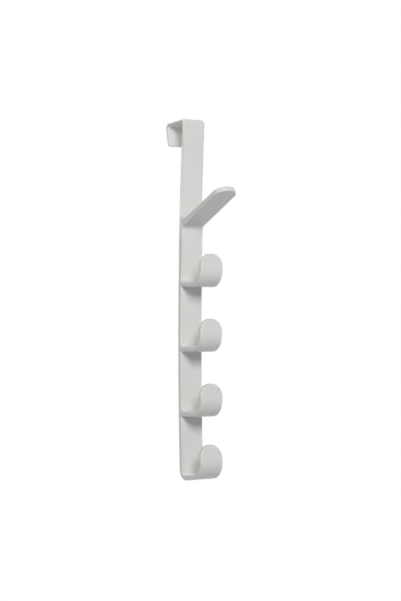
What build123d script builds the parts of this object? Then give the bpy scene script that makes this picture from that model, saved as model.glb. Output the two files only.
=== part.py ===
"""Over-door hanger: one moulded strip with a door clip, a slanted hook and a row of J-shaped hooks.

Frame: +Z up, +X across the strip, -Y out to the hooks. The origin is the middle of the seat,
the underside of the clip's bridge, which rests on the top edge of a door. The strip's two ends are
one above the other, and the seat slopes a little because it is square to the bowed strip's top.
"""

import os
from math import asin, atan2, cos, degrees, radians, sin, tan

from build123d import *

# Driving dimensions, in millimetres and degrees

# Clip and upper strip
strip_width = 24.2
clip_thickness = 3.4
door_gap = 30.0
clip_bend_radius = 2.4
flange_length = 20.1
flange_lean = 10.5
flange_corner_radius = 2.6

# Lower strip: it bows, so that its middle bears on the door
strip_length = 347.6
strip_thickness = 5.5
strip_bow = 5.4
heel_radius = 10.5
step_length = 6.0
step_radius = 8.0

# J-shaped hooks
hook_count = 4
hook_pitch = 62.7
hook_thickness = 5.5
hook_floor_length = 22.4
hook_bend_radius = 11.4
hook_lean = 3.0
hook_lip_length = 2.2
last_hook_rise = 5.4

# Slanted hook
slant_inset = 0.75
slant_height = 246.4
slant_angle = 25.7
slant_length = 65.2
slant_root_thickness = 6.7
slant_tip_thickness = 5.3

# Roots and edges
hook_root_radius = 2.2
slant_root_radius = 5.2
notch_radius = 4.0
corner_radius = 1.0
edge_radius = 1.6
edge_share_of_wall = 0.48
slant_edge_radius = 0.5

# How far the slanted hook's rounded roots run into the strip, so that they cross its face
root_overlap = 0.15

# Values worked out from them

half_width = strip_width / 2
slant_half_width = half_width - slant_inset
core_depth = clip_thickness / 2
bow_radius = (strip_length**2 / 4 + strip_bow**2) / (2 * strip_bow)
bow_half_angle = asin(strip_length / 2 / bow_radius)
strip_arc_length = 2 * bow_half_angle * bow_radius
rounding = min(edge_radius, edge_share_of_wall * clip_thickness)

# The bridge is square to the strip's upper end, so it slopes down to the back by half the bow's angle
seat_back = Vector(cos(bow_half_angle), -sin(bow_half_angle)) * (door_gap / 2)
seat_front = -seat_back
bow_centre = Vector(0, seat_front.X + strip_bow - bow_radius, seat_front.Y - strip_length / 2)
flange_angle = radians(flange_lean) + bow_half_angle
flange_run = Vector(-sin(flange_angle), -cos(flange_angle))
flange_foot = seat_back + flange_run * flange_length
flange_end = flange_foot + Vector(cos(flange_angle), -sin(flange_angle)) * core_depth


def strip_plane(height: float, rise: float = 0.0) -> Plane:
    """Section plane on the strip's back face, at a height along it from its lower end.

    Its x axis points out to the hooks, turned up by the rise, and its y axis up the strip.
    """
    turn = height / bow_radius - bow_half_angle
    outward = Vector(0, -cos(turn), -sin(turn))
    raised = outward.rotate(Axis.X, -rise)
    return Plane(bow_centre - outward * bow_radius, x_dir=raised, z_dir=(-1, 0, 0))


def strip_point(height: float, depth: float) -> tuple[float, float]:
    """Point of the side view, at a height along the strip and a depth out from its back face."""
    point = strip_plane(height).from_local_coords((depth, 0))
    return (point.Y, point.Z)


def strip_arc(low: float, high: float, depth: float) -> ThreePointArc:
    """Arc of the bowed strip at one depth, drawn from its high end down."""
    ends = [strip_point(height, depth) for height in (high, (low + high) / 2, low)]
    return ThreePointArc(*ends)


def end_plane(base: Plane, line: Edge) -> Plane:
    """Plane on the outer face of a blade, at the end of its outer line, with y along the blade."""
    inward = base.from_local_coords((line % 1).rotate(Axis.Z, 90)) - base.origin
    return Plane(base.from_local_coords(line @ 1), x_dir=base.z_dir, z_dir=inward)


def half_disc(radius: float) -> Sketch:
    """Half-round end that every blade has, as wide as the blade."""
    with BuildSketch() as outline:
        with BuildLine():
            Line((-radius, 0), (radius, 0))
            ThreePointArc((radius, 0), (0, radius), (-radius, 0))
        make_face()
    return outline.sketch


def sharp_edges(faces: ShapeList[Face], least_angle: float = 10.0) -> list[Edge]:
    """Edges where two faces meet at an angle, without the seams where one runs on into the next."""
    neighbours = {}
    for face in faces:
        for edge in face.edges():
            neighbours.setdefault(edge, []).append(face)
    found = []
    for edge, pair in neighbours.items():
        if len(pair) == 2:
            normals = [face.normal_at(edge @ 0.5) for face in pair]
            if normals[0].get_angle(normals[1]) > least_angle:
                found.append(edge)
    return found


heel = strip_plane(0, last_hook_rise)
hook_planes = [heel] + [strip_plane(number * hook_pitch) for number in range(1, hook_count)]
slant_plane = strip_plane(slant_height)

slope = radians(slant_angle)
slant_run = Vector(cos(slope), sin(slope))
slant_up = Vector(-sin(slope), cos(slope))
slant_root = Vector(strip_thickness, 0)
slant_top = slant_root + slant_up * slant_root_thickness
tip_low = slant_root + slant_run * (slant_length + slant_half_width)
tip_high = tip_low + slant_up * slant_tip_thickness
top_run = (tip_high - slant_top).normalized()
top_slope = atan2(top_run.Y, top_run.X)


def root_corner(point: Vector, run: Vector, depth: float) -> Vector:
    """Point where a line along the slanted hook reaches a little deeper than a depth of the strip."""
    return point + run * ((depth - root_overlap - point.X) / run.X)


# Slanted hook: a blade that thins out to its half-round end, and widens into the strip at both roots
with BuildPart() as slanted_hook:
    with BuildSketch(slant_plane):
        with BuildLine():
            low_corner = root_corner(slant_root, slant_run, strip_thickness)
            low_start = low_corner + slant_run * (slant_root_radius * tan((radians(90) - slope) / 2))
            low_root = JernArc(low_start, -slant_run, slant_root_radius, 90 - slant_angle)
            high_corner = root_corner(slant_top, top_run, clip_thickness)
            high_start = high_corner + top_run * (notch_radius * tan((radians(90) + top_slope) / 2))
            high_root = JernArc(high_start, -top_run, notch_radius, -90 - degrees(top_slope))
            underside = Line(low_start, slant_root + slant_run * slant_length)
            Polyline(underside @ 1, tip_low, tip_high, high_start)
            inside = [(core_depth / 2, (root @ 1).Y) for root in (high_root, low_root)]
            Polyline(high_root @ 1, *inside, low_root @ 1)
        make_face()
    extrude(amount=slant_half_width, both=True)
    with BuildSketch(end_plane(slant_plane, underside)):
        add(half_disc(slant_half_width))
        with Locations((0, -slant_length)):
            Rectangle(2 * strip_width, 2 * slant_length)
    extrude(amount=slant_length, both=True, mode=Mode.INTERSECT)
    for point, radius in ((tip_high, rounding), (tip_low, slant_edge_radius)):
        tip = slant_plane.from_local_coords(point)
        fillet(slanted_hook.edges().sort_by_distance(tip)[0], radius)

with BuildPart() as door_hanger:
    # Clip and thin strip: flange, bridge and strip are one bent section of even thickness
    with BuildSketch(Plane.YZ):
        with BuildLine() as clip:
            Line(flange_foot, seat_back)
            Line(seat_back, seat_front)
            strip_arc(slant_height + 2 * step_length, strip_arc_length, 0)
            fillet(clip.vertices().sort_by(Axis.Y)[-2:], clip_bend_radius)
            offset(amount=clip_thickness, side=Side.RIGHT)
        make_face()
    extrude(amount=half_width, both=True)

    # Thicker lower strip, which starts with a slanted step behind the slanted hook
    with BuildSketch(Plane.YZ):
        with BuildLine() as lower:
            back = strip_arc(-hook_thickness, slant_height + 2 * step_length, 0)
            thin = strip_arc(slant_height + step_length, slant_height + 2 * step_length, clip_thickness)
            thick = strip_arc(-hook_thickness, slant_height, strip_thickness)
            Line(thin @ 1, thick @ 0)
            Line(back @ 0, thin @ 0)
            Line(back @ 1, thick @ 1)
            for corner in (thin @ 1, thick @ 0):
                fillet(lower.vertices().sort_by_distance(corner)[0], step_radius)
        make_face()
    extrude(amount=half_width, both=True)

    # The lower end is cut off flush with the underside of the last hook
    split(bisect_by=Plane(heel.origin, x_dir=heel.x_dir, z_dir=heel.y_dir), keep=Keep.TOP)

    # J-shaped hooks: floor, bend and lip are one bent section, with a half-round end
    for plane in hook_planes:
        with BuildSketch(plane):
            with BuildLine():
                floor = Line((core_depth, 0), (strip_thickness + hook_floor_length, 0))
                bend = JernArc(floor @ 1, floor % 1, hook_bend_radius + hook_thickness, 90 + hook_lean)
                lip = Line(bend @ 1, bend @ 1 + (bend % 1) * hook_lip_length)
                offset(amount=hook_thickness, side=Side.LEFT)
            make_face()
        extrude(amount=half_width, both=True)
        with BuildSketch(end_plane(plane, lip)):
            add(half_disc(half_width))
        extrude(amount=hook_thickness)

    # Rounded roots, where the hooks grow out of the strip, and the rounded heel
    def cross_edge(plane: Plane, x: float, y: float) -> Edge:
        """Edge across the strip that is nearest to a point of a section plane."""
        point = plane.from_local_coords((x, y))
        return door_hanger.edges().filter_by(Axis.X).sort_by_distance(point)[0]

    for plane in hook_planes:
        fillet(cross_edge(plane, strip_thickness, hook_thickness), hook_root_radius)
    for plane in hook_planes[1:]:
        fillet(cross_edge(plane, strip_thickness, 0), corner_radius)
    fillet(cross_edge(heel, 0, 0), heel_radius)

    # Rounded corners of the flange, then every edge that is left
    for x in (-half_width, half_width):
        corner = (x, flange_end.X, flange_end.Y)
        fillet(door_hanger.edges().sort_by_distance(corner)[0], flange_corner_radius)
    fillet(sharp_edges(door_hanger.faces()), rounding)

    # The slanted hook grows out of the step
    add(slanted_hook.part)

door_hanger.part.label = "door_hanger"
os.makedirs("parts", exist_ok=True)
export_step(door_hanger.part, "parts/door_hanger.step")
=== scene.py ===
"""Looks of an over-door hanger: one piece of satin white moulded plastic under soft studio light.

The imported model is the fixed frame. The hanger keeps its own solid and gets its finish here, and
the floor, the lamps, the world and the camera are set up around it. Lengths are in metres and angles
in degrees.
"""

import logging
import math
from dataclasses import dataclass, field
from enum import Enum
from typing import Any, Union

import bpy
import numpy as np
from mathutils import Matrix, Vector

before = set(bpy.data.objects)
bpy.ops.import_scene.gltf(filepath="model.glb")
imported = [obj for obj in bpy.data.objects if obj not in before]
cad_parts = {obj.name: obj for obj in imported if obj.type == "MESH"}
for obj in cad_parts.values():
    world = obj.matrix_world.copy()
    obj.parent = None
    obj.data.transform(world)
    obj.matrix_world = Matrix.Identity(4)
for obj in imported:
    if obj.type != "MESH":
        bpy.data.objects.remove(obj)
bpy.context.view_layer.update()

log = logging.getLogger("door_hanger")

# Middle value of a noise that runs from 0 to 1
NOISE_MIDDLE = 0.5

Colour = tuple[float, float, float]
Point = tuple[float, float, float]

WHITE: Colour = (1.0, 1.0, 1.0)


class Sum(Enum):
    """Math node operations that the shader expressions use."""

    ADD = "ADD"
    SUBTRACT = "SUBTRACT"
    MULTIPLY = "MULTIPLY"
    LARGER = "MAXIMUM"


class Role(Enum):
    """What a lamp is for."""

    KEY = "key"
    FILL = "fill"
    SIDE = "side"
    BOUNCE = "bounce"
    REAR = "rear"
    TOP = "top"


class Value:
    """A number that varies over a surface: a socket whose sums add Math nodes."""

    def __init__(self, graph: "Graph", socket: bpy.types.NodeSocket) -> None:
        """Wraps a socket.

        Args:
            graph: The node tree that the socket is in.
            socket: The output that gives the number.
        """
        self.graph = graph
        self.socket = socket

    def __add__(self, other: "Number") -> "Value":
        """Sum of two numbers."""
        return self.graph.sum(Sum.ADD, self, other)

    def __radd__(self, other: "Number") -> "Value":
        """Sum of two numbers, with this one second."""
        return self.graph.sum(Sum.ADD, other, self)

    def __sub__(self, other: "Number") -> "Value":
        """Difference of two numbers."""
        return self.graph.sum(Sum.SUBTRACT, self, other)

    def __rsub__(self, other: "Number") -> "Value":
        """Difference of two numbers, with this one second."""
        return self.graph.sum(Sum.SUBTRACT, other, self)

    def __mul__(self, other: "Number") -> "Value":
        """Product of two numbers."""
        return self.graph.sum(Sum.MULTIPLY, self, other)

    def __rmul__(self, other: "Number") -> "Value":
        """Product of two numbers, with this one second."""
        return self.graph.sum(Sum.MULTIPLY, other, self)


Number = Union[Value, float]


class Graph:
    """A node tree that is written as expressions."""

    def __init__(self, tree: bpy.types.NodeTree) -> None:
        """Empties a node tree.

        Args:
            tree: The tree of a material or of the world.
        """
        self.tree = tree
        tree.nodes.clear()

    def node(
        self, kind: str, settings: dict[str, Any], inputs: dict[Union[str, int], Any]
    ) -> bpy.types.Node:
        """Adds a node.

        Args:
            kind: The node's type.
            settings: Values of its own properties, which are set first.
            inputs: Numbers, colours or links for its sockets, by name or place.

        Returns:
            The new node.
        """
        made = self.tree.nodes.new(kind)
        for name, value in settings.items():
            setattr(made, name, value)
        for key, value in inputs.items():
            if isinstance(value, Value):
                value = value.socket
            if isinstance(value, bpy.types.NodeSocket):
                self.tree.links.new(value, made.inputs[key])
            else:
                made.inputs[key].default_value = value
        return made

    def sum(self, kind: Sum, first: Number, second: Number) -> Value:
        """Adds a Math node.

        Args:
            kind: The operation.
            first: Its first number.
            second: Its second number.

        Returns:
            The result.
        """
        made = self.node("ShaderNodeMath", {"operation": kind.value}, {0: first, 1: second})
        return Value(self, made.outputs[0])

    def noise(self, place: bpy.types.NodeSocket, scale: float, detail: float) -> Value:
        """Adds soft three-dimensional noise between 0 and 1.

        Args:
            place: The coordinates that it is read at.
            scale: Blots per metre.
            detail: Finer layers.

        Returns:
            The noise.
        """
        inputs = {"Vector": place, "Scale": scale, "Detail": detail}
        made = self.node("ShaderNodeTexNoise", {"noise_dimensions": "3D"}, inputs)
        return Value(self, made.outputs[0])

    def blend(self, share: Number, first: Colour, second: Colour) -> bpy.types.NodeSocket:
        """Mixes two colours.

        The node keeps one set of sockets for each kind of data: places 6 and 7 take its two colours
        and output 2 gives the mixed one.

        Args:
            share: How much of the second colour there is, from 0 to 1.
            first: The first colour.
            second: The second colour.

        Returns:
            The mixed colour.
        """
        inputs = {0: share, 6: (*first, 1.0), 7: (*second, 1.0)}
        return self.node("ShaderNodeMix", {"data_type": "RGBA"}, inputs).outputs[2]

    def seen_directly(self) -> Value:
        """Gives 1 for rays from the camera, a mirror or a pane, and 0 for the light on the object."""
        rays = self.node("ShaderNodeLightPath", {}, {})
        camera = Value(self, rays.outputs["Is Camera Ray"])
        glossy = Value(self, rays.outputs["Is Glossy Ray"])
        through = Value(self, rays.outputs["Is Transmission Ray"])
        return self.sum(Sum.LARGER, self.sum(Sum.LARGER, camera, glossy), through)


@dataclass(frozen=True)
class MouldedPlastic:
    """Satin white plastic from a fine-eroded mould, with faint flow clouds in its colour and gloss.

    Attributes:
        white: The main colour.
        cloud: The slightly deeper colour in the flow clouds.
        roughness: The satin's middle roughness.
        roughness_swing: How far the clouds move it.
        index: Refractive index, which sets the strength of its reflections.
        cloud_scale: Clouds per metre.
        cloud_detail: Finer layers in the clouds.
        grain_scale: Pits of the mould's grain per metre.
        grain_detail: Finer layers in the grain.
        grain_height: Depth of the grain.
        grain_strength: How strongly the grain tilts the surface.
    """

    white: Colour = (0.795, 0.787, 0.77)
    cloud: Colour = (0.765, 0.756, 0.738)
    roughness: float = 0.42
    roughness_swing: float = 0.08
    index: float = 1.49
    cloud_scale: float = 55.0
    cloud_detail: float = 3.0
    grain_scale: float = 2600.0
    grain_detail: float = 2.0
    grain_height: float = 0.00003
    grain_strength: float = 0.12

    def material(self, name: str) -> bpy.types.Material:
        """Makes the material.

        The clouds are noise read at object coordinates. They blend the two whites and move the
        roughness up and down about its middle. The grain is finer noise that only tilts the surface.

        Args:
            name: The material's name.

        Returns:
            The finished material.
        """
        made = bpy.data.materials.new(name)
        made.use_nodes = True
        graph = Graph(made.node_tree)
        place = graph.node("ShaderNodeTexCoord", {}, {}).outputs["Object"]
        cloud = graph.noise(place, self.cloud_scale, self.cloud_detail)
        grain = graph.noise(place, self.grain_scale, self.grain_detail)
        tilt = {"Strength": self.grain_strength, "Distance": self.grain_height, "Height": grain}
        bump = graph.node("ShaderNodeBump", {}, tilt)
        inputs = {
            "Base Color": graph.blend(cloud, self.white, self.cloud),
            "Roughness": self.roughness + self.roughness_swing * (cloud - NOISE_MIDDLE),
            "IOR": self.index,
            "Normal": bump.outputs["Normal"],
        }
        shader = graph.node("ShaderNodeBsdfPrincipled", {}, inputs)
        graph.node("ShaderNodeOutputMaterial", {}, {"Surface": shader.outputs[0]})
        return made


@dataclass(frozen=True)
class PaleCard:
    """Plain pale studio card, which is seen nearly as white as the room behind it.

    Attributes:
        light: The main colour.
        dark: The colour in its faint mottle.
        roughness: Its roughness.
        mottle_scale: Mottles per metre.
        mottle_detail: Finer layers in the mottle.
        seen_white: Share of plain white in what the camera and reflections see of it.
    """

    light: Colour = (0.86, 0.86, 0.86)
    dark: Colour = (0.84, 0.84, 0.84)
    roughness: float = 0.85
    mottle_scale: float = 4.0
    mottle_detail: float = 2.0
    seen_white: float = 0.9

    def material(self, name: str) -> bpy.types.Material:
        """Makes the material.

        Rays that see the card get plain white mixed into it, and the light that it throws on the
        object has none.

        Args:
            name: The material's name.

        Returns:
            The finished material.
        """
        made = bpy.data.materials.new(name)
        made.use_nodes = True
        graph = Graph(made.node_tree)
        place = graph.node("ShaderNodeTexCoord", {}, {}).outputs["Object"]
        mottle = graph.noise(place, self.mottle_scale, self.mottle_detail)
        colour = graph.blend(mottle, self.light, self.dark)
        inputs = {"Base Color": colour, "Roughness": self.roughness}
        card = graph.node("ShaderNodeBsdfPrincipled", {}, inputs)
        white = graph.node("ShaderNodeEmission", {}, {"Color": (*WHITE, 1.0), "Strength": 1.0})
        share = self.seen_white * graph.seen_directly()
        inputs = {0: share, 1: card.outputs[0], 2: white.outputs[0]}
        mixed = graph.node("ShaderNodeMixShader", {}, inputs)
        graph.node("ShaderNodeOutputMaterial", {}, {"Surface": mixed.outputs[0]})
        return made


@dataclass
class DoorHanger:
    """The hanger itself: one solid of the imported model.

    Attributes:
        node: The solid's name.
        finish: What it is moulded in.
    """

    node: str = "door_hanger"
    finish: MouldedPlastic = field(default_factory=MouldedPlastic)

    def dress(self, nodes: dict[str, bpy.types.Object]) -> bpy.types.Object:
        """Gives the solid its finish in every material slot.

        Args:
            nodes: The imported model's solids by name.

        Returns:
            The dressed solid.
        """
        solid = nodes[self.node]
        plastic = self.finish.material("white_moulded_plastic")
        for slot in solid.material_slots:
            slot.material = plastic
        if not solid.material_slots:
            solid.data.materials.append(plastic)
        return solid


@dataclass
class StudioFloor:
    """A round pale floor, well below the hanging object.

    Attributes:
        level: Its height.
        radius: Its radius.
        rings: Rows of faces from the middle to the rim.
        spokes: Faces round it.
        finish: What it is made of.
    """

    level: float = -1.8
    radius: float = 3.0
    rings: int = 8
    spokes: int = 96
    finish: PaleCard = field(default_factory=PaleCard)

    def build(self) -> bpy.types.Object:
        """Makes the floor.

        A point is its ring's radius times the cosine and sine of its spoke's angle, at the floor's
        level. Each face joins two neighbouring spokes and two neighbouring rings, and the innermost
        ring is closed by one face.

        Returns:
            The floor's object.
        """
        ring, spoke = np.meshgrid(np.arange(self.rings), np.arange(self.spokes), indexing="ij")
        reach = self.radius * (ring + 1) / self.rings
        angle = 2 * np.pi * spoke / self.spokes
        height = np.full(reach.shape, self.level)
        points = np.stack([reach * np.cos(angle), reach * np.sin(angle), height], axis=-1)
        index = ring * self.spokes + spoke
        after = np.roll(index, -1, axis=1)
        faces = np.stack([index[:-1], index[1:], after[1:], after[:-1]], axis=-1).reshape(-1, 4)
        mesh = bpy.data.meshes.new("studio_floor")
        mesh.from_pydata(points.reshape(-1, 3).tolist(), [], faces.tolist() + [index[0].tolist()])
        mesh.materials.append(self.finish.material("pale_card"))
        floor = bpy.data.objects.new("studio_floor", mesh)
        bpy.context.scene.collection.objects.link(floor)
        return floor


@dataclass(frozen=True)
class Softbox:
    """A square soft lamp that faces a point.

    Attributes:
        role: What it is for.
        towards: Direction from the object to the lamp.
        distance: How far away it is.
        size: Its side.
        watts: Its power.
        target: The point that it faces.
    """

    role: Role
    towards: Point
    distance: float
    size: float
    watts: float
    target: Point = (0.0, -0.03, -0.17)

    def build(self) -> bpy.types.Object:
        """Makes the lamp.

        Returns:
            The lamp's object.
        """
        light = bpy.data.lights.new(f"{self.role.value}_softbox", "AREA")
        light.shape = "SQUARE"
        light.size = self.size
        light.energy = self.watts
        lamp = bpy.data.objects.new(light.name, light)
        away = Vector(self.towards).normalized()
        lamp.location = Vector(self.target) + away * self.distance
        lamp.rotation_euler = away.to_track_quat("Z", "Y").to_euler()
        lamp.visible_camera = False
        bpy.context.scene.collection.objects.link(lamp)
        return lamp


@dataclass(frozen=True)
class WhiteRoom:
    """The world: white behind the object, and dimmer as the light that falls on it.

    Attributes:
        seen: Strength that the camera and reflections see.
        light: Strength that lights the object.
    """

    seen: float = 1.0
    light: float = 0.12

    def build(self) -> None:
        """Makes the world. Its strength is one value for rays that see it and another for its light."""
        world = bpy.data.worlds.new("white_room")
        world.use_nodes = True
        graph = Graph(world.node_tree)
        strength = self.light + (self.seen - self.light) * graph.seen_directly()
        inputs = {"Color": (*WHITE, 1.0), "Strength": strength}
        background = graph.node("ShaderNodeBackground", {}, inputs)
        graph.node("ShaderNodeOutputWorld", {}, {"Surface": background.outputs[0]})
        bpy.context.scene.world = world


@dataclass(frozen=True)
class StudioCamera:
    """The camera, at the photograph's viewing angle.

    Attributes:
        place: Where it is.
        heading: Turn of its view about +Z, away from +Y towards +X.
        pitch: Turn of its view up from level.
        roll: Turn of the camera about its view.
        focal_px: Focal length in pixels of the image.
        image_px: The image's longer side in pixels.
        sensor_mm: The sensor's longer side.
        sight: How far it sees.
    """

    place: Point = (-0.74373, -1.32068, -0.16675)
    heading: float = 30.0
    pitch: float = -0.19
    roll: float = 0.39
    focal_px: float = 1547.5
    image_px: float = 601.0
    sensor_mm: float = 36.0
    sight: float = 100.0

    def build(self) -> bpy.types.Object:
        """Makes the camera and gives it to the scene.

        Returns:
            The camera's object.
        """
        angles = (self.heading, self.pitch, self.roll)
        heading, pitch, roll = (math.radians(angle) for angle in angles)
        level = Vector((math.sin(heading), math.cos(heading), 0.0))
        side = Vector((math.cos(heading), -math.sin(heading), 0.0))
        view = level * math.cos(pitch) + Vector((0.0, 0.0, math.sin(pitch)))
        above = side.cross(view)
        right = side * math.cos(roll) + above * math.sin(roll)
        up = above * math.cos(roll) - side * math.sin(roll)
        turn = Matrix((right, up, -view)).transposed().to_4x4()
        lens = bpy.data.cameras.new("studio_camera")
        lens.sensor_width = self.sensor_mm
        lens.lens = self.focal_px * self.sensor_mm / self.image_px
        lens.clip_end = self.sight
        camera = bpy.data.objects.new("studio_camera", lens)
        camera.matrix_world = Matrix.Translation(self.place) @ turn
        bpy.context.scene.collection.objects.link(camera)
        bpy.context.scene.camera = camera
        return camera


LAMPS = (
    Softbox(Role.KEY, towards=(-0.36, -0.85, 0.39), distance=1.58, size=0.5, watts=16.0),
    Softbox(Role.FILL, towards=(1.0, -0.3, -0.1), distance=1.6, size=1.0, watts=7.3),
    Softbox(Role.SIDE, towards=(-1.0, 0.0, 0.15), distance=1.6, size=1.0, watts=2.4),
    Softbox(Role.BOUNCE, towards=(0.0, 0.8, -0.8), distance=1.2, size=1.6, watts=3.6),
    Softbox(Role.REAR, towards=(0.1, 1.0, 0.45), distance=1.7, size=0.8, watts=14.0),
    Softbox(Role.TOP, towards=(0.0, 0.35, 1.0), distance=1.5, size=0.6, watts=5.0),
)


def main() -> None:
    """Builds the scene in order and reports each piece."""
    logging.basicConfig(level=logging.INFO, format="%(name)s: %(message)s")
    bpy.context.scene.view_settings.view_transform = "Standard"
    camera = StudioCamera().build()
    log.info("camera %s", camera.name)
    solid = DoorHanger().dress(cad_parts)
    log.info("hanger %s with %d triangles", solid.name, len(solid.data.polygons))
    floor = StudioFloor().build()
    log.info("floor %s", floor.name)
    for softbox in LAMPS:
        log.info("lamp %s", softbox.build().name)
    WhiteRoom().build()
    log.info("world set")


if __name__ == "__main__":
    main()
